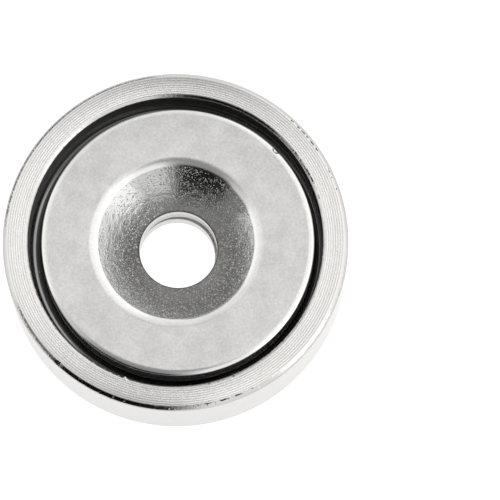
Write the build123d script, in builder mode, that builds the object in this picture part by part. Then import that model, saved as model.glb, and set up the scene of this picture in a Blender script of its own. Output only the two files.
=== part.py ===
from build123d import *

import os

# A pot magnet with a countersunk screw hole, millimetres.
# The back of the pot lies on Z = 0, its axis is Z, and the holding face looks up, towards +Z.

# Steel pot, turned from bar
pot_diameter = 25.0
pot_height = 7.0
base_thickness = 2.0
wall_thickness = 1.85
outer_edge_chamfer = 0.3
pocket_mouth_chamfer = 0.22

# Hole for the fixing screw through the pot's base
screw_hole_diameter = 5.6
hole_top_chamfer = 0.5
hole_back_chamfer = 0.2

# Sintered magnet ring, tumbled before it is plated
magnet_gap = 0.77
magnet_edge_radius = 0.5
magnet_face_recess = 0.05

# The ring was glued slightly off the pot's axis, by less than the gap round it
magnet_shift_x = 0.17
magnet_shift_y = -0.08

# Bore and countersink in the magnet, for a flat-headed screw
magnet_bore_diameter = 5.65
bore_edge_chamfer = 0.4
countersink_angle = 90.0
countersink_diameter = 12.0
countersink_lip_radius = 1.0

# Potting compound in the gap round the magnet
potting_recess = 2.5
meniscus_radius = 1.0

pot_radius = pot_diameter / 2
pocket_radius = pot_radius - wall_thickness
screw_hole_radius = screw_hole_diameter / 2
magnet_radius = pocket_radius - magnet_gap
magnet_top = pot_height - magnet_face_recess
magnet_seat = Plane(origin=(magnet_shift_x, magnet_shift_y, base_thickness))


def ring_edge(part, radius, height):
    """The circular edges of a part that have this radius and lie at this height."""
    return part.edges().filter_by(GeomType.CIRCLE).filter_by(
        lambda edge: abs(edge.radius - radius) < 1e-4
        and abs(edge.arc_center.Z - height) < 1e-4
    )


os.makedirs("parts", exist_ok=True)

# Pot: a half section spun round Z, with its sharp edges broken
with BuildPart() as pot:
    with BuildSketch(Plane.XZ):
        with BuildLine():
            Polyline(
                (screw_hole_radius, 0),
                (pot_radius, 0),
                (pot_radius, pot_height),
                (pocket_radius, pot_height),
                (pocket_radius, base_thickness),
                (screw_hole_radius, base_thickness),
                close=True,
            )
        make_face()
    revolve(axis=Axis.Z)
    chamfer(
        ring_edge(pot, pot_radius, 0) + ring_edge(pot, pot_radius, pot_height),
        outer_edge_chamfer,
    )
    chamfer(ring_edge(pot, pocket_radius, pot_height), pocket_mouth_chamfer)
    chamfer(ring_edge(pot, screw_hole_radius, base_thickness), hole_top_chamfer)
    chamfer(ring_edge(pot, screw_hole_radius, 0), hole_back_chamfer)

pot.part.label = "pot"
export_step(pot.part, "parts/pot.step")

# Magnet: a disc seated on the pot's base and countersunk from its face. Its rims and the
# countersink's lip are rounded, and the lower edge of its bore is chamfered.
with BuildPart() as magnet:
    with BuildSketch(magnet_seat):
        Circle(magnet_radius)
    extrude(amount=magnet_top - base_thickness)
    with Locations((magnet_shift_x, magnet_shift_y, magnet_top)):
        CounterSinkHole(
            radius=magnet_bore_diameter / 2,
            counter_sink_radius=countersink_diameter / 2,
            counter_sink_angle=countersink_angle,
        )
    fillet(
        ring_edge(magnet, magnet_radius, base_thickness)
        + ring_edge(magnet, magnet_radius, magnet_top),
        magnet_edge_radius,
    )
    chamfer(ring_edge(magnet, magnet_bore_diameter / 2, base_thickness), bore_edge_chamfer)
    fillet(ring_edge(magnet, countersink_diameter / 2, magnet_top), countersink_lip_radius)

magnet.part.label = "magnet"
export_step(magnet.part, "parts/magnet.step")

# Potting ring: fills the gap from the base up to a hollow meniscus that climbs both walls
meniscus_centre_height = pot_height - potting_recess + meniscus_radius

with BuildPart() as potting_ring:
    with BuildSketch(Plane.XY.offset(base_thickness)):
        Circle(pocket_radius)
        with Locations((magnet_shift_x, magnet_shift_y)):
            Circle(magnet_radius, mode=Mode.SUBTRACT)
    extrude(amount=meniscus_centre_height - base_thickness)
    with Locations((magnet_shift_x / 2, magnet_shift_y / 2, meniscus_centre_height)):
        Torus((pocket_radius + magnet_radius) / 2, meniscus_radius, mode=Mode.SUBTRACT)

potting_ring.part.label = "potting_ring"
export_step(potting_ring.part, "parts/potting_ring.step")
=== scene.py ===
# %% [markdown]
# # A pot magnet, dressed for its picture
# A pot magnet is a ring of magnet seated in a turned steel cup. The cup bends the field round to
# one side, so the front holds hard and the back holds nothing. A screw goes through the middle.
# The solids come from the CAD model. This script gives them finer skins and real finishes.

# %% Load the frame
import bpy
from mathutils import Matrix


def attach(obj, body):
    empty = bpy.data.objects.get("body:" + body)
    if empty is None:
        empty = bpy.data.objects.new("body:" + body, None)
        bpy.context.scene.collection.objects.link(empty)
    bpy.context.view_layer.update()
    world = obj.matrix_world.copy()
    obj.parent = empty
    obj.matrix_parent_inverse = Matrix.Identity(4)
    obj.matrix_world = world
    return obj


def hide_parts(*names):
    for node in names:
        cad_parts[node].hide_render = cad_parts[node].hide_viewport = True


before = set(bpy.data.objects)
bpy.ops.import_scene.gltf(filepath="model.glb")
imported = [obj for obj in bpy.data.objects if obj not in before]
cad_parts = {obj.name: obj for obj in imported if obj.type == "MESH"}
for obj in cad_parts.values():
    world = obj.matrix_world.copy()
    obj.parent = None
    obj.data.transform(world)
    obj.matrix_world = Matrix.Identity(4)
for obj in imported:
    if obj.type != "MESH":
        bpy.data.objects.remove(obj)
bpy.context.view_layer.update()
print("solids loaded:", sorted(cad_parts))

# %% [markdown]
# ## Sizes
# Blender works in metres here, and a maker works in millimetres. Every size below is written in
# millimetres and multiplied by `MM` where it is used, so that the numbers read like a drawing.
# The magnet was never pressed quite true: its outside, its bore and the lip of its countersink
# each have a centre of their own, a tenth or two off the axis of the pot.

# %% Sizes of the pot and the magnet
import bmesh
import bpy
import math
from mathutils import Vector

MM = 0.001
POT_RADIUS = 12.5
POT_HEIGHT = 7.0
BASE_THICKNESS = 2.0
POCKET_RADIUS = 10.65
SCREW_HOLE_RADIUS = 2.8
MAGNET_RADIUS = 9.88
MAGNET_TOP = 6.95
BORE_RADIUS = 2.825
LIP_RADIUS = 5.96
MAGNET_SHIFT = Vector((0.17, -0.08, 0))
BORE_SHIFT = Vector((0.15, -0.05, 0))
LIP_SHIFT = Vector((0.05, -0.10, 0))
print("gap round the magnet:", round(POCKET_RADIUS - MAGNET_RADIUS, 2), "mm")

# %% [markdown]
# ## Camera
# A long lens from well above flattens the circles only a little, as in a catalogue picture.
# The camera looks down at 77 degrees, so a sliver of the pot's side shows along the bottom.
# Its angles could be typed in, but `to_track_quat` finds them from the point that it aims at.

# %% Camera
EYE = Vector((5.379, -61.52, 279.82)) * MM
AIM = Vector((5.379, 0.805, 0)) * MM
FOCAL_LENGTH = 279.04

lens = bpy.data.cameras.new("catalogue_lens")
lens.lens = FOCAL_LENGTH
lens.sensor_width = 36
lens.clip_start = 0.01
camera = bpy.data.objects.new("camera", lens)
camera.location = EYE
camera.rotation_euler = (AIM - EYE).to_track_quat("-Z", "Y").to_euler()
bpy.context.scene.collection.objects.link(camera)
bpy.context.scene.camera = camera
print("camera height:", round(EYE.z / MM), "mm")

# %% [markdown]
# ## Studio
# Bare metal has hardly any colour of its own: it shows what stands round it. So the studio is
# part of the finish. The magnet lies on a lit white table inside a pale tent. The world is the
# tent, and boards of glowing or black cloth stand in it wherever the tent has to be lighter or
# darker. Lamps could light it too, but a lamp is only a small spot in a mirror, and a board is a
# broad soft band, which is how shiny things are best lit.

# %% Tent and table
TENT_BRIGHTNESS = 0.42
TABLE_BRIGHTNESS = 1.0
TABLE_RADIUS = 0.6

tent = bpy.data.worlds.new("tent")
tent.use_nodes = True
tent.node_tree.nodes["Background"].inputs["Color"].default_value = (1, 1, 1, 1)
tent.node_tree.nodes["Background"].inputs["Strength"].default_value = TENT_BRIGHTNESS
bpy.context.scene.world = tent
bpy.context.scene.view_settings.view_transform = "Standard"


def finish_mesh(name, bm):
    """Turn a bmesh into an object at the origin, and link it to the scene."""
    mesh = bpy.data.meshes.new(name)
    bm.to_mesh(mesh)
    bm.free()
    thing = bpy.data.objects.new(name, mesh)
    bpy.context.scene.collection.objects.link(thing)
    return thing


def glow(name, brightness, surface=0.0):
    """A plain emitting material, for the table and the boards."""
    material = bpy.data.materials.new(name)
    material.use_nodes = True
    shader = material.node_tree.nodes["Principled BSDF"].inputs
    shader["Base Color"].default_value = (surface, surface, surface, 1)
    shader["Roughness"].default_value = 1.0
    shader["Specular IOR Level"].default_value = 0.0
    shader["Emission Color"].default_value = (1, 1, 1, 1)
    shader["Emission Strength"].default_value = brightness
    return material


bm = bmesh.new()
bmesh.ops.create_circle(bm, cap_ends=True, segments=96, radius=TABLE_RADIUS)
table = finish_mesh("light_table", bm)
table.data.materials.append(glow("lit_acrylic", TABLE_BRIGHTNESS, 0.2))
print("table is", round(table.dimensions.x, 2), "m across")

# %% [markdown]
# ### Walls of the tent
# The camera never sees a board, only the metal does. A wall could be bent from a flat sheet, but
# it is shorter to spin an upright edge part of the way round the axis. So a wall is told by its
# two compass angles and its two heights, all in degrees. East is 0 and north is 90.

# %% Walls of the tent
def hide_from_camera(board, brightness):
    """Make a board glow, seen only in reflections."""
    board.data.materials.append(glow(board.name + "_cloth", brightness))
    board.visible_camera = False
    board.visible_shadow = False


def wall(name, start, end, low, high, brightness, distance=0.5):
    """A curved wall from one compass angle to another, between two heights, in degrees."""
    a, low, high = math.radians(start), math.radians(low), math.radians(high)
    bm = bmesh.new()
    foot = bm.verts.new((math.cos(a) * distance, math.sin(a) * distance, math.tan(low) * distance))
    lean = math.cos(high) / math.cos(low)
    head = bm.verts.new((math.cos(a) * distance * lean, math.sin(a) * distance * lean,
                         math.tan(high) * distance * lean))
    upright = bm.edges.new((foot, head))
    bmesh.ops.spin(bm, geom=[foot, head, upright], cent=(0, 0, 0), axis=(0, 0, 1),
                   angle=math.radians(end - start), steps=8, use_merge=False)
    hide_from_camera(finish_mesh(name, bm), brightness)


wall("right_wall", -15, 75, 0, 60, 1.8)
wall("back_wall", 75, 135, 0, 60, 1.4)
wall("left_wall", 135, 192, 0, 60, 1.6)
wall("low_dim_wall", 192, 216, 8, 22, 0.45)
wall("high_dim_wall", 192, 216, 22, 60, 1.0)
wall("half_card", 269, 278, -1, 60, 0.6)
wall("front_wall", 278, 315, 0, 60, 1.4)
wall("key_wall", 315, 345, 0, 60, 2.3)

# %% [markdown]
# ### Dark cards
# Dark cards matter as much as lamps. A rounded edge sweeps past the whole studio in a few
# hundredths of a millimetre, so each card comes back as a thin dark line along it. The large
# black card stands low at the front left. It gives the outer edge its black line there, and the
# countersink its dark quarter at the back. The other cards are small, and draw finer lines.

# %% Dark cards
wall("low_card", 186, 216, -1, 8, 0.1)
wall("black_card", 216, 269, -1, 38, 0.0)
wall("near_black_card", 216, 269, 0, 10, 0.0, 0.045)
wall("edge_card", 97, 165, 0.7, 8.5, 0.12, 0.04)
wall("low_back_card", 97, 140, 4, 19, 0.12, 0.45)

# %% [markdown]
# ### Ceiling
# The flat faces look almost straight up, so the ceiling sets how bright they are. It is made of
# flat boards, brighter on the right, and told in metres from the axis. `lens_shade` is the dark
# front of the camera, and `bulb` is the one lamp that shows as a thin line in the wet epoxy.

# %% Ceiling
def ceiling(name, left, right, front, back, brightness, height=0.4):
    """A flat rectangle overhead, in metres from the axis."""
    bm = bmesh.new()
    bmesh.ops.create_grid(bm, x_segments=1, y_segments=1, size=0.5)
    bmesh.ops.scale(bm, vec=(right - left, back - front, 1), verts=bm.verts)
    bmesh.ops.translate(bm, vec=((left + right) / 2, (front + back) / 2, height), verts=bm.verts)
    hide_from_camera(finish_mesh(name, bm), brightness)


ceiling("right_near_ceiling", 0.035, 0.08, -0.13, 0.24, 1.4)
ceiling("right_far_ceiling", 0.08, 0.24, -0.13, 0.24, 2.0)
ceiling("left_near_ceiling", -0.08, -0.035, -0.04, 0.24, 1.1)
ceiling("left_far_ceiling", -0.24, -0.08, -0.04, 0.24, 1.7)
ceiling("zenith_right", 0.0, 0.035, -0.04, 0.05, 2.6)
ceiling("zenith_left", -0.035, 0.0, -0.04, 0.05, 0.8)
ceiling("lens_shade", -0.03, 0.06, -0.135, -0.05, 0.04)
ceiling("bulb", -0.048, 0.014, 0.068, 0.108, 2.8, 0.39)

# %% [markdown]
# ## Modelling round pieces
# Every piece was turned, ground or cast round one axis. Each could be stacked from cylinders and
# cones, but the plain way is a turner's: draw the half section, break its corners, and spin it.
# `half_section` makes the corners into a face, since the bevel operator rounds a face's corners,
# and `spun` drops the face and spins its outline.

# %% Half sections and spinning
SPIN_STEPS = 480


def half_section(corners):
    """A face in the XZ plane through (radius, height) corners, given in millimetres."""
    bm = bmesh.new()
    verts = [bm.verts.new((r * MM, 0, z * MM)) for r, z in corners]
    bm.faces.new(verts)
    return bm


def break_corner(bm, radius, height, offset, segments=1):
    """Cut or round the corner at this radius and height by an offset along its two edges."""
    spot = Vector((radius, 0, height)) * MM
    corner = [v for v in bm.verts if (v.co - spot).length < 1e-7]
    return bmesh.ops.bevel(
        bm, geom=corner, offset=offset * MM, offset_type="OFFSET", affect="VERTICES",
        segments=segments, profile=0.5, material=-1,
    )["verts"]


def spun(bm, steps=SPIN_STEPS):
    """Spin the outline of a half section into a closed, outward-facing skin."""
    bmesh.ops.delete(bm, geom=bm.faces[:], context="FACES_ONLY")
    bmesh.ops.spin(
        bm, geom=bm.verts[:] + bm.edges[:], cent=(0, 0, 0), axis=(0, 0, 1),
        angle=2 * math.pi, steps=steps, use_merge=True, use_duplicate=False,
    )
    bmesh.ops.remove_doubles(bm, verts=bm.verts, dist=1e-8)
    bmesh.ops.recalc_face_normals(bm, faces=bm.faces)
    for face in bm.faces:
        face.smooth = True


def keep_flats_flat(thing):
    """Weight the shading normals by area, so that flat faces stay flat up to their edges."""
    thing.modifiers.new("flat_faces", "WEIGHTED_NORMAL").weight = 90


print("one spin step at the rim:", round(2 * math.pi * POT_RADIUS / SPIN_STEPS, 3), "mm")

# %% [markdown]
# ## Pot
# The cup is turned from steel bar and nickel plated. A lathe tool leaves crisp corners, and each
# is broken by a small chamfer. Every chamfer gets a second, tiny bevel, because a real edge is
# never a perfect line, and that is what catches the light. A Bevel modifier could do the same,
# but it can't give each edge a size of its own. The two edges on the outside wall are knocked
# about more than the others in the plating drum, so their second bevel is twice as wide.

# %% Pot
RIM_CHAMFER = 0.3
MOUTH_CHAMFER = 0.22
HOLE_FLOOR_CHAMFER = 0.5
HOLE_BACK_CHAMFER = 0.2
EDGE_SOFTNESS = 0.05
OUTER_SOFTNESS = 0.1

bm = half_section([
    (SCREW_HOLE_RADIUS, 0), (POT_RADIUS, 0), (POT_RADIUS, POT_HEIGHT),
    (POCKET_RADIUS, POT_HEIGHT), (POCKET_RADIUS, BASE_THICKNESS),
    (SCREW_HOLE_RADIUS, BASE_THICKNESS),
])
pot_chamfers = [
    (POT_RADIUS, 0, RIM_CHAMFER),
    (POT_RADIUS, POT_HEIGHT, RIM_CHAMFER),
    (POCKET_RADIUS, POT_HEIGHT, MOUTH_CHAMFER),
    (SCREW_HOLE_RADIUS, BASE_THICKNESS, HOLE_FLOOR_CHAMFER),
    (SCREW_HOLE_RADIUS, 0, HOLE_BACK_CHAMFER),
]
for radius, height, size in pot_chamfers:
    for edge_vert in break_corner(bm, radius, height, size):
        on_outside = edge_vert.co.x > (POT_RADIUS - 0.01) * MM
        softness = OUTER_SOFTNESS if on_outside else EDGE_SOFTNESS
        break_corner(bm, edge_vert.co.x / MM, edge_vert.co.z / MM, softness, 3)
spun(bm)
pot = finish_mesh("turned_pot", bm)
keep_flats_flat(pot)
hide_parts("pot")
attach(pot, "root")
print("pot skin:", len(pot.data.polygons), "faces")

# %% [markdown]
# ## Magnet
# The ring is pressed and sintered from powder, tumbled until its corners are round, and plated.
# Tumbling wears the top corner to a wide easy curve that ends in a tight turn at the side. One
# round bevel would give an even curve, so the corner is cut to a slope first, and the two ends
# of the slope are rounded by different amounts.
# The countersink is part of the pressing, so its lip is soft too. Its cone is a little
# shallower than 45 degrees, as a pressed one often is, and that keeps its two sides from
# showing the very same spot of the ceiling.

# %% Magnet: section
EDGE_SLOPE = 0.22
SIDE_TURN = 0.055
TOP_CURVE = 0.25
FOOT_ROUNDING = 0.5
LIP_OFFSET = 0.43
BORE_END_CHAMFER = 0.4
CONE_FOOT_BREAK = 0.06
CONE_SLOPE = math.tan(math.radians(44.2))

cone_foot = MAGNET_TOP - (LIP_RADIUS - BORE_RADIUS) * CONE_SLOPE
bm = half_section([
    (BORE_RADIUS, BASE_THICKNESS), (MAGNET_RADIUS, BASE_THICKNESS),
    (MAGNET_RADIUS, MAGNET_TOP - EDGE_SLOPE), (MAGNET_RADIUS - EDGE_SLOPE, MAGNET_TOP),
    (LIP_RADIUS, MAGNET_TOP), (BORE_RADIUS, cone_foot),
])
break_corner(bm, MAGNET_RADIUS, BASE_THICKNESS, FOOT_ROUNDING, 6)
break_corner(bm, MAGNET_RADIUS, MAGNET_TOP - EDGE_SLOPE, SIDE_TURN, 4)
break_corner(bm, MAGNET_RADIUS - EDGE_SLOPE, MAGNET_TOP, TOP_CURVE, 12)
break_corner(bm, LIP_RADIUS, MAGNET_TOP, LIP_OFFSET, 14)
break_corner(bm, BORE_RADIUS, BASE_THICKNESS, BORE_END_CHAMFER)
break_corner(bm, BORE_RADIUS, cone_foot, CONE_FOOT_BREAK, 3)
print("countersink:", round(MAGNET_TOP - cone_foot, 2), "mm deep, section of",
      len(bm.verts), "points")

# %% [markdown]
# The section is spun true, and then the bore, the lip and the outside each slide to their own
# centre. No ring of points lies between 4 and 5 mm from the axis, or between 7 and 9 mm, so 4
# and 8 mm tell the three apart, and the cone and the face stretch a hair between them.

# %% Magnet: spin and shift
spun(bm)
for vert in bm.verts:
    radius = math.hypot(vert.co.x, vert.co.y) / MM
    shift = BORE_SHIFT if radius < 4 else LIP_SHIFT if radius < 8 else MAGNET_SHIFT
    vert.co += shift * MM
magnet = finish_mesh("ring_magnet", bm)
keep_flats_flat(magnet)
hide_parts("magnet")
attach(magnet, "root")
print("magnet skin:", len(magnet.data.polygons), "faces")

# %% [markdown]
# ## Small marks
# Sintered magnet is as brittle as pottery, so a knock takes a chip out of its edge. Steel is
# tough, and a knock moves it: a nick in the outer chamfer, or a burr pushed over the mouth of
# the pot. They could be sculpted, but each mark is so small that one soft push on the few points
# near it is enough, and a push in code can be repeated.

# %% Small marks
def dent(thing, angle, radius, height, reach, push):
    """Push the skin near a spot out and up, by millimetres that fade away with distance."""
    a = math.radians(angle)
    spot = Vector((radius * math.cos(a), radius * math.sin(a), height)) * MM
    move = Vector((push[0] * math.cos(a), push[0] * math.sin(a), push[1])) * MM
    near = [v for v in thing.data.vertices if (v.co - spot).length < reach * MM]
    for vert in near:
        share = 1 - (vert.co - spot).length / (reach * MM)
        vert.co += move * share * share * (3 - 2 * share)
    return len(near)


chip = dent(magnet, 42.6, 9.95, 6.92, 0.34, (-0.24, -0.09))
burr = dent(pot, 250.6, 10.76, 6.95, 0.20, (-0.34, 0.0))
nicks = dent(pot, 227.5, 12.38, 6.88, 0.30, (-0.12, 0.0))
nicks += dent(pot, 300.0, 12.38, 6.86, 0.25, (-0.10, -0.05))
print("points moved: chip", chip, "burr", burr, "nicks", nicks)

# %% [markdown]
# ## Potting
# Black epoxy is poured into the gap to hold the ring. It wets both walls and climbs them as it
# sets, so its surface is hollow. The ring sits to the right, so the gap is wider on the left,
# and there a strip down the middle stays level. That strip mirrors the lamp as one thin line.
# In the narrow gap on the right the two curves meet, and there is no line.
# A spun section has the same curve all round, so a level ring is spun first and shaped after.

# %% Potting: level ring
POTTING_LEVEL = 4.5
CLIMB = 0.6
HOLLOW_STEPS = 32
POTTING_SPIN_STEPS = 360
GAP = POCKET_RADIUS - MAGNET_RADIUS

bm = bmesh.new()
hollow = [
    bm.verts.new(((MAGNET_RADIUS + GAP * step / HOLLOW_STEPS) * MM, 0,
                  (POTTING_LEVEL + CLIMB) * MM))
    for step in range(HOLLOW_STEPS + 1)
]
foot = [
    bm.verts.new((POCKET_RADIUS * MM, 0, BASE_THICKNESS * MM)),
    bm.verts.new((MAGNET_RADIUS * MM, 0, BASE_THICKNESS * MM)),
]
bm.faces.new(hollow + foot)
spun(bm, POTTING_SPIN_STEPS)
print("points across the hollow:", len(hollow))

# %% [markdown]
# Now each point of the top sinks by how far it is from the two walls, and the inner wall slides
# over with the magnet. `across` runs from 0 at the magnet to 1 at the pot, and `side` from 0 at
# the lowest line of the hollow to 1 at either wall.

# %% Potting: shape the hollow
LOWEST_LINE = 0.66
LEVEL_STRIP = 0.22
CLIMB_POWER = 1.5

for vert in bm.verts:
    across = (math.hypot(vert.co.x, vert.co.y) / MM - MAGNET_RADIUS) / GAP
    if vert.co.z > (BASE_THICKNESS + 1) * MM:
        level = LEVEL_STRIP * (1 - math.cos(math.atan2(vert.co.y, vert.co.x))) / 2
        side = abs(across - LOWEST_LINE) / (1 - LOWEST_LINE if across > LOWEST_LINE
                                            else LOWEST_LINE)
        vert.co.z = (POTTING_LEVEL + CLIMB * max(0, side - level) ** CLIMB_POWER) * MM
    vert.co += MAGNET_SHIFT * MM * (1 - across)
potting = finish_mesh("potting_epoxy", bm)
keep_flats_flat(potting)
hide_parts("potting_ring")
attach(potting, "root")
print("potting skin:", len(potting.data.polygons), "faces")

# %% [markdown]
# ## Finishes
# A finish is a small network of nodes. The shader at its end is always the same one, and a metal
# is that shader with Metallic at 1: its base colour is then the share of light it gives back, so
# bare nickel is a light warm grey and never white. Colours are written as hex codes, as a paint
# program shows them, and `from_hex` turns them into the linear values that light adds up in.
# `add` puts in one node with its settings, its values and its links.

# %% Helpers for finishes
def from_hex(code):
    """An sRGB hex colour as the linear colour that a shader wants."""
    parts = [int(code[i:i + 2], 16) / 255 for i in (1, 3, 5)]
    return tuple(c / 12.92 if c <= 0.04045 else ((c + 0.055) / 1.055) ** 2.4 for c in parts) + (1,)


def add(material, kind, inputs=(), **settings):
    """Add one node: settings are its properties, and inputs are values or links by socket."""
    made = material.node_tree.nodes.new("ShaderNode" + kind)
    for name, value in settings.items():
        setattr(made, name, value)
    for socket, value in dict(inputs).items():
        if isinstance(value, bpy.types.NodeSocket):
            material.node_tree.links.new(value, made.inputs[socket])
        else:
            made.inputs[socket].default_value = value
    return made


def new_finish(name, colour, roughness, metallic=1.0):
    """A new finish and its shader: bare metal, unless metallic is 0."""
    material = bpy.data.materials.new(name)
    material.use_nodes = True
    shader = material.node_tree.nodes["Principled BSDF"]
    shader.inputs["Base Color"].default_value = from_hex(colour)
    shader.inputs["Metallic"].default_value = metallic
    shader.inputs["Roughness"].default_value = roughness
    return material, shader


print("mid grey #808080 is linear", round(from_hex("#808080")[0], 3))

# %% [markdown]
# ### Turned face
# Nickel plated steel, faced on a lathe. The tool moves a tenth of a millimetre or so with each
# turn, and leaves one fine groove each time. Light spreads across such grooves and hardly along
# them, so a turned face is brightest left and right, and duller at the top and bottom. That is
# what the anisotropy does, with the outward direction as its tangent.
# The grooves could be modelled, but that takes many thousand faces, so they are bump.
# The real pitch is about 0.1 mm, too fine to show, so it is drawn at 0.17 mm.

# %% Turned face: rings
RING_PITCH = 0.17
RING_DEPTH = 0.0022

steel, shader = new_finish("turned_nickel_plated_steel", "#C1C0BE", 0.22)
place = add(steel, "TexCoord").outputs["Object"]
# A wave repeats every pi / 10 / Scale.
rings = add(steel, "TexWave", {"Vector": place, "Scale": math.pi / 10 / (RING_PITCH * MM),
            "Distortion": 0.25, "Detail": 1.0, "Detail Scale": 1.0},
            wave_type="RINGS", rings_direction="Z").outputs["Fac"]
flat = add(steel, "VectorMath", {0: place, 1: (1, 1, 0)}, operation="MULTIPLY").outputs[0]
outward = add(steel, "VectorMath", {0: flat}, operation="NORMALIZE").outputs[0]
shader.inputs["Anisotropic"].default_value = 0.7
steel.node_tree.links.new(outward, shader.inputs["Tangent"])
print("rings across the rim:", round((POT_RADIUS - POCKET_RADIUS) / RING_PITCH))

# %% [markdown]
# The tool also tears the steel a little. A tear is a short streak that follows its groove, so
# the noise for it is laid out by radius and angle: 0.11 mm wide, and about 1.3 mm long.

# %% Turned face: tears
TEAR_WIDTH = 0.11
TEARS_PER_RADIAN = 9.0
TEAR_SHARE = 0.5

radius = add(steel, "VectorMath", {0: flat}, operation="LENGTH").outputs["Value"]
parts = add(steel, "SeparateXYZ", {0: flat}).outputs
angle = add(steel, "Math", {0: parts[1], 1: parts[0]}, operation="ARCTAN2").outputs[0]
along = add(steel, "Math", {0: angle, 1: TEARS_PER_RADIAN}, operation="MULTIPLY").outputs[0]
across = add(steel, "Math", {0: radius, 1: 1 / (TEAR_WIDTH * MM)}, operation="MULTIPLY").outputs[0]
tear_place = add(steel, "CombineXYZ", {0: across, 1: along}).outputs[0]
tears = add(steel, "TexNoise", {"Vector": tear_place, "Scale": 1.0, "Detail": 3.0,
            "Roughness": 0.6}, noise_dimensions="2D").outputs["Fac"]
relief = add(steel, "Math", {0: tears, 1: TEAR_SHARE, 2: rings},
             operation="MULTIPLY_ADD").outputs[0]
print("a tear is", round((POT_RADIUS + POCKET_RADIUS) / 2 / TEARS_PER_RADIAN, 1), "mm long")

# %% [markdown]
# Rings and tears together make the relief. It drives the bump, and it also sets the colour: the
# bottom of each groove is painted darker, as painted shade, and the tears vary the tone.

# %% Turned face: relief, and tone with painted shade
bump = add(steel, "Bump", {"Strength": 1.0, "Distance": RING_DEPTH * MM, "Height": relief})
steel.node_tree.links.new(bump.outputs[0], shader.inputs["Normal"])
# Painted shade: groove bottoms get the darker colour, crests the lighter.
tone = add(steel, "MapRange", {"Value": relief, "From Min": 0.15, "From Max": 1.2}).outputs[0]
shade = add(steel, "MixRGB", {0: tone, 1: from_hex("#ABAAA8"), 2: from_hex("#C1C0BE")})
steel.node_tree.links.new(shade.outputs[0], shader.inputs["Base Color"])
print("nodes in the turned face:", len(steel.node_tree.nodes))

# %% [markdown]
# ### Cut edges of the pot
# The same steel, cut by a form tool and then plated. The tool chatters, which leaves a fine
# ripple, and parts knock together in the plating drum, which leaves small dimples. An edge is
# polished by that, so it is smoother than the faces: it mirrors the studio as crisp lines, and
# the ripple makes the ends of those lines ragged. Noise makes the ripple. Dimples are round and
# stand apart, which noise can't do, so they come from cells with one dimple in some of them.

# %% Cut edges: ripple and dimples
RIPPLE_SIZE = 0.22
DIMPLE_SPACING = 0.2
DIMPLE_STRENGTH = 1.2
EDGE_RELIEF = 0.010

edge, shader = new_finish("cut_steel_edge", "#B9B8B6", 0.16)
place = add(edge, "TexCoord").outputs["Object"]
ripple = add(edge, "TexNoise", {"Vector": place, "Scale": 1 / (RIPPLE_SIZE * MM), "Detail": 3.0,
             "Roughness": 0.65}).outputs["Fac"]
cells = add(edge, "TexVoronoi", {"Vector": place, "Scale": 1 / (DIMPLE_SPACING * MM)}).outputs
dimple = add(edge, "MapRange", {"Value": cells["Distance"], "From Min": 0.08, "From Max": 0.5,
             "To Min": 1.0, "To Max": 0.0}, interpolation_type="SMOOTHSTEP").outputs[0]
lot = add(edge, "SeparateColor", {0: cells["Color"]}).outputs[0]
# Half of the cells draw a lot above 0.5, and only those get a dimple.
chosen = add(edge, "MapRange", {"Value": lot, "From Min": 0.5,
             "To Max": DIMPLE_STRENGTH}).outputs[0]
relief = add(edge, "Math", {0: dimple, 1: chosen, 2: ripple}, operation="MULTIPLY_ADD").outputs[0]
bump = add(edge, "Bump", {"Strength": 1.0, "Distance": EDGE_RELIEF * MM, "Height": relief})
edge.node_tree.links.new(bump.outputs[0], shader.inputs["Normal"])
print("chamfer is", round(RIM_CHAMFER / RIPPLE_SIZE, 1), "ripples wide")

# %% [markdown]
# Near three spots, the sharp top corner of a chamfer is painted with small dark dashes: a painted
# reflection, the ragged dark line that a dark card would mirror there. Each spot has a reach of a
# few millimetres, and noise decides where round it a dash is. Dark dashes could be little pieces
# of their own, but then they would stand on the surface.

# %% Cut edges: painted dark dashes
DASH_SIZE = 0.3
# Each spot is an angle in degrees, and a radius and a reach in millimetres.
DARK_DASH_SPOTS = ((287, 12.25, 4.6), (38, 12.25, 4.2), (26, 10.8, 4.4))
FAR_FROM_DASH_SPOTS = 0.5

noise = add(edge, "TexNoise", {"Vector": place, "Scale": 1 / (DASH_SIZE * MM), "Detail": 2.0,
            "Roughness": 0.7}).outputs["Fac"]
height = add(edge, "SeparateXYZ", {0: place}).outputs[2]
top_corner = add(edge, "MapRange", {"Value": height, "From Min": (POT_HEIGHT - 0.14) * MM,
                 "From Max": (POT_HEIGHT - 0.07) * MM}).outputs[0]
dark_dash = FAR_FROM_DASH_SPOTS
for angle, radius, reach in DARK_DASH_SPOTS:
    a = math.radians(angle)
    spot = Vector((radius * math.cos(a), radius * math.sin(a), POT_HEIGHT)) * MM
    away = add(edge, "VectorMath", {0: place, 1: spot}, operation="DISTANCE").outputs["Value"]
    near = add(edge, "MapRange", {"Value": away, "From Min": 0.0, "From Max": reach * MM,
               "To Min": 1.1, "To Max": FAR_FROM_DASH_SPOTS}).outputs[0]
    dark_dash = add(edge, "Math", {0: dark_dash, 1: near}, operation="MAXIMUM").outputs[0]
chance = add(edge, "Math", {0: dark_dash, 1: noise}, operation="MULTIPLY").outputs[0]
chance = add(edge, "Math", {0: chance, 1: top_corner}, operation="MULTIPLY").outputs[0]
dark_dash_mask = add(edge, "MapRange", {"Value": chance, "From Min": 0.50, "From Max": 0.54}).outputs[0]
# Dark dashes on the chamfer's top corner: a painted reflection of a dark card.
shade = add(edge, "MixRGB", {0: dark_dash_mask, 1: from_hex("#B9B8B6"), 2: from_hex("#343332")})
edge.node_tree.links.new(shade.outputs[0], shader.inputs["Base Color"])
print("knocked places:", len(DARK_DASH_SPOTS))
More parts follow.
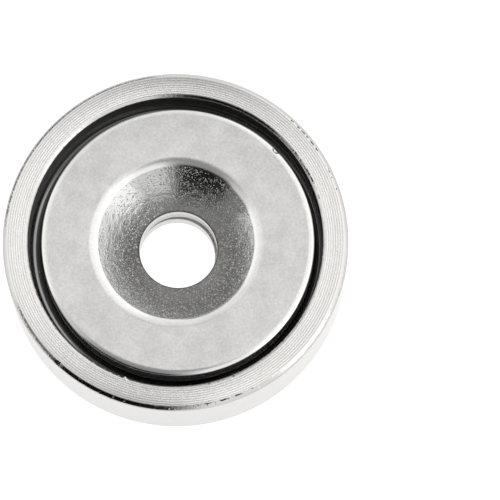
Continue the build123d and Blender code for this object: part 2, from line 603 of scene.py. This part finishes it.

# %% [markdown]
# ### Upright walls of the pot
# Turned steel again, but the tool ran along the axis here, so its lines are level hoops, and
# plating has half filled them. Outside, that gives a soft even sheen with faint hoops, whose
# troughs are painted a little darker as painted shade. Inside the pocket the wall is a little
# rougher, and its colours are much darker: painted shade for the deep narrow gap.
# One network serves both, in a loop, with colours and a roughness for each wall.
# The real hoops are about 0.1 mm apart, and are drawn at 0.2 mm so that they show.

# %% Upright walls
HOOP_PITCH = 0.2
HOOP_SHARE = 0.4
PATCH_SIZE = 0.6
WALL_RELIEF = 0.0012
WALLS = (("plated_side_wall", "#C5C3C0", "#D0CECB", 0.28),
         # The pocket wall's darker colours are painted shade for the narrow gap round the magnet.
         ("pocket_wall_with_painted_shade", "#8D8C8A", "#A3A2A0", 0.30))

wall_finishes = []
for name, dark, light, roughness in WALLS:
    upright, shader = new_finish(name, light, roughness)
    place = add(upright, "TexCoord").outputs["Object"]
    hoops = add(upright, "TexWave", {"Vector": place, "Scale": math.pi / 10 / (HOOP_PITCH * MM),
                "Distortion": 0.6, "Detail": 1.0}, wave_type="BANDS", bands_direction="Z")
    patches = add(upright, "TexNoise", {"Vector": place, "Scale": 1 / (PATCH_SIZE * MM),
                  "Detail": 4.0, "Roughness": 0.6}).outputs["Fac"]
    relief = add(upright, "Math", {0: hoops.outputs["Fac"], 1: HOOP_SHARE, 2: patches},
                 operation="MULTIPLY_ADD").outputs[0]
    # Painted shade: the hoop troughs take the darker colour, and the patches vary the tone.
    tone = add(upright, "MapRange", {"Value": relief, "From Min": 0.35, "From Max": 1.05})
    shade = add(upright, "MixRGB", {0: tone.outputs[0], 1: from_hex(dark), 2: from_hex(light)})
    upright.node_tree.links.new(shade.outputs[0], shader.inputs["Base Color"])
    bump = add(upright, "Bump", {"Strength": 1.0, "Distance": WALL_RELIEF * MM, "Height": relief})
    upright.node_tree.links.new(bump.outputs[0], shader.inputs["Normal"])
    wall_finishes.append(upright)
print("hoops on the side:", round(POT_HEIGHT / HOOP_PITCH))

# %% [markdown]
# The pot is one piece with four finishes, so each face takes its finish by the way it looks.
# A face that looks up or down was faced off, an upright one is a wall, and what leans is a cut
# edge. The pocket wall is told from the side and the hole by how far it is from the axis.

# %% Dress the pot
LEVEL_TILT = 0.98
UPRIGHT_TILT = 0.02
FACED, CUT, OUTSIDE, POCKET = range(4)

for material in [steel, edge] + wall_finishes:
    pot.data.materials.append(material)
for face in pot.data.polygons:
    tilt = abs(face.normal.z)
    out = math.hypot(face.center.x, face.center.y) / MM
    if tilt > LEVEL_TILT:
        face.material_index = FACED
    elif tilt > UPRIGHT_TILT:
        face.material_index = CUT
    elif SCREW_HOLE_RADIUS + 1 < out < POCKET_RADIUS + 0.01:
        face.material_index = POCKET
    else:
        face.material_index = OUTSIDE
print("faces of the pot by finish:",
      [sum(f.material_index == slot for f in pot.data.polygons) for slot in range(4)])

# %% [markdown]
# ### Satin nickel on the magnet
# Nickel plate on sintered powder. The plate follows the grain of the powder, so the flat face is
# a fine satin with soft clouds in it, where the plate is a little thicker or thinner. Roughness
# alone would give an even blur with no grain to see, so two noises lie over each other. Powder
# grain is some 0.01 mm across, far too fine to show, so it is drawn at 0.15 mm.

# %% Satin nickel: clouds and grain
CLOUD_SIZE = 1.5
GRAIN_SIZE = 0.15
GRAIN_SHARE = 0.9

nickel, shader = new_finish("satin_nickel_on_magnet", "#BEBDBC", 0.3)
coords = add(nickel, "TexCoord").outputs
cloud = add(nickel, "TexNoise", {"Vector": coords["Object"], "Scale": 1 / (CLOUD_SIZE * MM),
            "Detail": 4.0, "Roughness": 0.6}).outputs["Fac"]
grain = add(nickel, "TexNoise", {"Vector": coords["Object"], "Scale": 1 / (GRAIN_SIZE * MM),
            "Detail": 1.0, "Roughness": 0.5}).outputs["Fac"]
both = add(nickel, "Math", {0: grain, 1: GRAIN_SHARE, 2: cloud},
           operation="MULTIPLY_ADD").outputs[0]
tone = add(nickel, "MapRange", {"Value": both, "From Min": 0.65, "From Max": 1.25}).outputs[0]
face_shade = add(nickel, "MixRGB", {0: tone, 1: from_hex("#A9A8A7"), 2: from_hex("#BEBDBC")})
print("grains across the face:", round((MAGNET_RADIUS - LIP_RADIUS) / GRAIN_SIZE))

# %% [markdown]
# Tumbling rubs the corners and leaves the flats alone. So the corners are smoother and almost
# without grain, and they are also painted lighter, as a painted highlight where they turn over
# towards the lamps. What tells a corner from a flat is how far its normal leans from straight up:
# the Normal output's Z is 1 on a flat and falls as the surface turns over.

# %% Satin nickel: rubbed corners, painted lighter
LIGHTEST_LEAN = 0.84
SMOOTHEST_LEAN = 0.88
GRAIN_DEPTH = 0.005
RUBBED_GRAIN_DEPTH = 0.0008

upward = add(nickel, "SeparateXYZ", {0: coords["Normal"]}).outputs[2]
corner_highlight = add(nickel, "MapRange", {"Value": upward, "From Min": LIGHTEST_LEAN, "From Max": 1.0,
             "To Min": 1.0, "To Max": 0.0}).outputs[0]
# The corners' lighter colour is a painted highlight. The rubbing itself is the lower roughness and
# the shallower grain below.
shade = add(nickel, "MixRGB", {0: corner_highlight, 1: face_shade.outputs[0], 2: from_hex("#CDCCCA")})
nickel.node_tree.links.new(shade.outputs[0], shader.inputs["Base Color"])
deep = add(nickel, "MapRange", {"Value": upward, "From Min": 0.985, "From Max": 1.0,
           "To Min": RUBBED_GRAIN_DEPTH * MM, "To Max": GRAIN_DEPTH * MM}).outputs[0]
bump = add(nickel, "Bump", {"Strength": 1.0, "Distance": deep, "Height": grain})
nickel.node_tree.links.new(bump.outputs[0], shader.inputs["Normal"])
polish = add(nickel, "MapRange", {"Value": upward, "From Min": SMOOTHEST_LEAN, "From Max": 1.0,
             "To Min": 0.22, "To Max": 0.3}).outputs[0]
nickel.node_tree.links.new(polish, shader.inputs["Roughness"])
print("a corner is smoothest beyond", round(math.degrees(math.acos(SMOOTHEST_LEAN))), "degrees")

# %% [markdown]
# ### Pitted nickel in the countersink
# The punch that presses the cone drags the powder, and the tumbling stones can't reach into it.
# So the cone keeps an orange-peel ripple with pits in it, and the plate over them is bright.
# Bright plate on rough ground sparkles: each pit catches a lamp, or a dark card, of its own.
# A rougher shader would only blur the cone, so the plate stays smooth and the pits are bump, in
# two sizes, one size to each turn of the loop.
# Pits of 0.03 mm would be lost, so they are drawn 0.12 and 0.22 mm apart.

# %% Pitted nickel: ripple and pits
PEEL_SIZE = 0.5
CONE_RELIEF = 0.03
# Each size of pit has a spacing in millimetres, the least lot that gets a pit, and a depth.
PITS = ((0.12, 0.15, 0.75), (0.22, 0.55, 1.0))

pitted, shader = new_finish("pitted_nickel_countersink", "#AEAEAD", 0.2)
place = add(pitted, "TexCoord").outputs["Object"]
relief = add(pitted, "TexNoise", {"Vector": place, "Scale": 1 / (PEEL_SIZE * MM), "Detail": 3.0,
             "Roughness": 0.6}).outputs["Fac"]
for spacing, least, depth in PITS:
    cells = add(pitted, "TexVoronoi", {"Vector": place, "Scale": 1 / (spacing * MM)}).outputs
    pit = add(pitted, "MapRange", {"Value": cells["Distance"], "From Min": 0.08, "From Max": 0.45,
              "To Min": depth, "To Max": 0.0}, interpolation_type="SMOOTHSTEP").outputs[0]
    lot = add(pitted, "SeparateColor", {0: cells["Color"]}).outputs[0]
    chosen = add(pitted, "MapRange", {"Value": lot, "From Min": least}).outputs[0]
    relief = add(pitted, "Math", {0: pit, 1: chosen, 2: relief},
                 operation="MULTIPLY_ADD").outputs[0]
bump = add(pitted, "Bump", {"Strength": 1.0, "Distance": CONE_RELIEF * MM, "Height": relief})
pitted.node_tree.links.new(bump.outputs[0], shader.inputs["Normal"])
print("ripples down the cone:", round((LIP_RADIUS - BORE_RADIUS) * 1.4 / PEEL_SIZE))

# %% [markdown]
# At the foot of the cone is a sharp edge where it meets the bore, and the colour there is painted
# dark as painted shade. It could be a thin ring of faces with a finish of its own, but that would
# have a hard border. Instead the distance from the axis of the bore is measured, and the last
# tenth of a millimetre fades to dark.

# %% Pitted nickel: painted shade at the foot
DARKEST = 0.03
CLEAR = 0.16

off_axis = add(pitted, "VectorMath", {0: place, 1: BORE_SHIFT * MM}, operation="SUBTRACT")
flat = add(pitted, "VectorMath", {0: off_axis.outputs[0], 1: (1, 1, 0)}, operation="MULTIPLY")
radius = add(pitted, "VectorMath", {0: flat.outputs[0]}, operation="LENGTH").outputs["Value"]
clear = add(pitted, "MapRange", {"Value": radius, "From Min": (BORE_RADIUS + DARKEST) * MM,
            "From Max": (BORE_RADIUS + CLEAR) * MM}).outputs[0]
# Painted shade: the colour darkens towards the foot of the cone.
shade = add(pitted, "MixRGB", {0: clear, 1: from_hex("#5C5C5B"), 2: from_hex("#AEAEAD")})
pitted.node_tree.links.new(shade.outputs[0], shader.inputs["Base Color"])
print("dark foot ends at radius", round(BORE_RADIUS + CLEAR, 2), "mm")

# %% [markdown]
# ### Bore of the magnet
# The pressing pin leaves the bore smoother than the cone, with faint streaks along the pin, and
# the plate over it is bright but thin. It shows as a light band with one dark line. The streaks
# are noise that is stretched five times along the axis.

# %% Bore
STREAK_WIDTH = 0.25
STREAK_DEPTH = 0.003

bore, shader = new_finish("plated_bore", "#C8C7C4", 0.22)
place = add(bore, "TexCoord").outputs["Object"]
stretched = add(bore, "VectorMath", {0: place, 1: (1, 1, 0.2)}, operation="MULTIPLY").outputs[0]
streaks = add(bore, "TexNoise", {"Vector": stretched, "Scale": 1 / (STREAK_WIDTH * MM),
              "Detail": 2.0, "Roughness": 0.6}).outputs["Fac"]
shade = add(bore, "MixRGB", {0: streaks, 1: from_hex("#BEBDBA"), 2: from_hex("#CDCCC9")})
bore.node_tree.links.new(shade.outputs[0], shader.inputs["Base Color"])
bump = add(bore, "Bump", {"Strength": 1.0, "Distance": STREAK_DEPTH * MM, "Height": streaks})
bore.node_tree.links.new(bump.outputs[0], shader.inputs["Normal"])
print("streaks round the bore:", round(2 * math.pi * BORE_RADIUS / STREAK_WIDTH))

# %% [markdown]
# The magnet has three finishes. Here the way that a face looks isn't enough, since the rounded
# lip leans as the cone does. So the faces are told by how far they lie from the bore's own
# centre and from the lip's own centre, and the pitted finish ends where the lip's curve begins.

# %% Dress the magnet
CONE_TOP_RADIUS = LIP_RADIUS - 0.3
SATIN, PITTED, PLATED = range(3)

for material in (nickel, pitted, bore):
    magnet.data.materials.append(material)
for face in magnet.data.polygons:
    spot = face.center / MM
    if (spot.xy - BORE_SHIFT.xy).length < BORE_RADIUS + 0.02:
        face.material_index = PLATED
    elif (spot.xy - LIP_SHIFT.xy).length < CONE_TOP_RADIUS and spot.z > BASE_THICKNESS + 1:
        face.material_index = PITTED
    else:
        face.material_index = SATIN
print("faces of the magnet by finish:",
      [sum(f.material_index == slot for f in magnet.data.polygons) for slot in range(3)])

# %% [markdown]
# ### Black epoxy
# Two-part epoxy, filled with soot black, poured and left to set. It sets as glossy as it was
# when wet, so it is black with a sharp shine. A clear skin forms on top of the filler, which is
# the coat. Clear epoxy has an IOR of about 1.55, and the filler makes it shine like 1.65.
# The surface pulls a little as it shrinks, and a few specks of dust have settled. A real speck
# is some 0.02 mm across and wouldn't show, so it is drawn at 0.12 mm.

# %% Black epoxy: gloss and pull
EPOXY_IOR = 1.65
PULL_SIZE = 0.8
PULL_DEPTH = 0.002

epoxy, shader = new_finish("black_epoxy", "#060606", 0.06, metallic=0.0)
shader.inputs["IOR"].default_value = EPOXY_IOR
shader.inputs["Coat Weight"].default_value = 1.0
shader.inputs["Coat IOR"].default_value = EPOXY_IOR
shader.inputs["Coat Roughness"].default_value = 0.04
place = add(epoxy, "TexCoord").outputs["Object"]
pull = add(epoxy, "TexNoise", {"Vector": place, "Scale": 1 / (PULL_SIZE * MM), "Detail": 1.0})
bump = add(epoxy, "Bump", {"Strength": 1.0, "Distance": PULL_DEPTH * MM,
           "Height": pull.outputs["Fac"]})
epoxy.node_tree.links.new(bump.outputs[0], shader.inputs["Normal"])
print("epoxy shines like an IOR of", EPOXY_IOR)

# %% [markdown]
# Dust is scattered by cells again. Each cell has one point, and what is nearer to it than the
# radius of a speck is dust. Most of those points lie deep in the epoxy or in the metal, and only
# the few that happen to lie on the surface show.

# %% Black epoxy: dust
DUST_SPACING = 0.9
SPECK_RADIUS = 0.06

specks = add(epoxy, "TexVoronoi", {"Vector": place, "Scale": 1 / (DUST_SPACING * MM)}).outputs
dust = add(epoxy, "Math", {0: specks["Distance"], 1: SPECK_RADIUS / DUST_SPACING},
           operation="LESS_THAN").outputs[0]
shade = add(epoxy, "MixRGB", {0: dust, 1: from_hex("#060606"), 2: from_hex("#8E8D8B")})
epoxy.node_tree.links.new(shade.outputs[0], shader.inputs["Base Color"])
potting.data.materials.append(epoxy)
print("dust: one point in every cell of", DUST_SPACING, "mm")
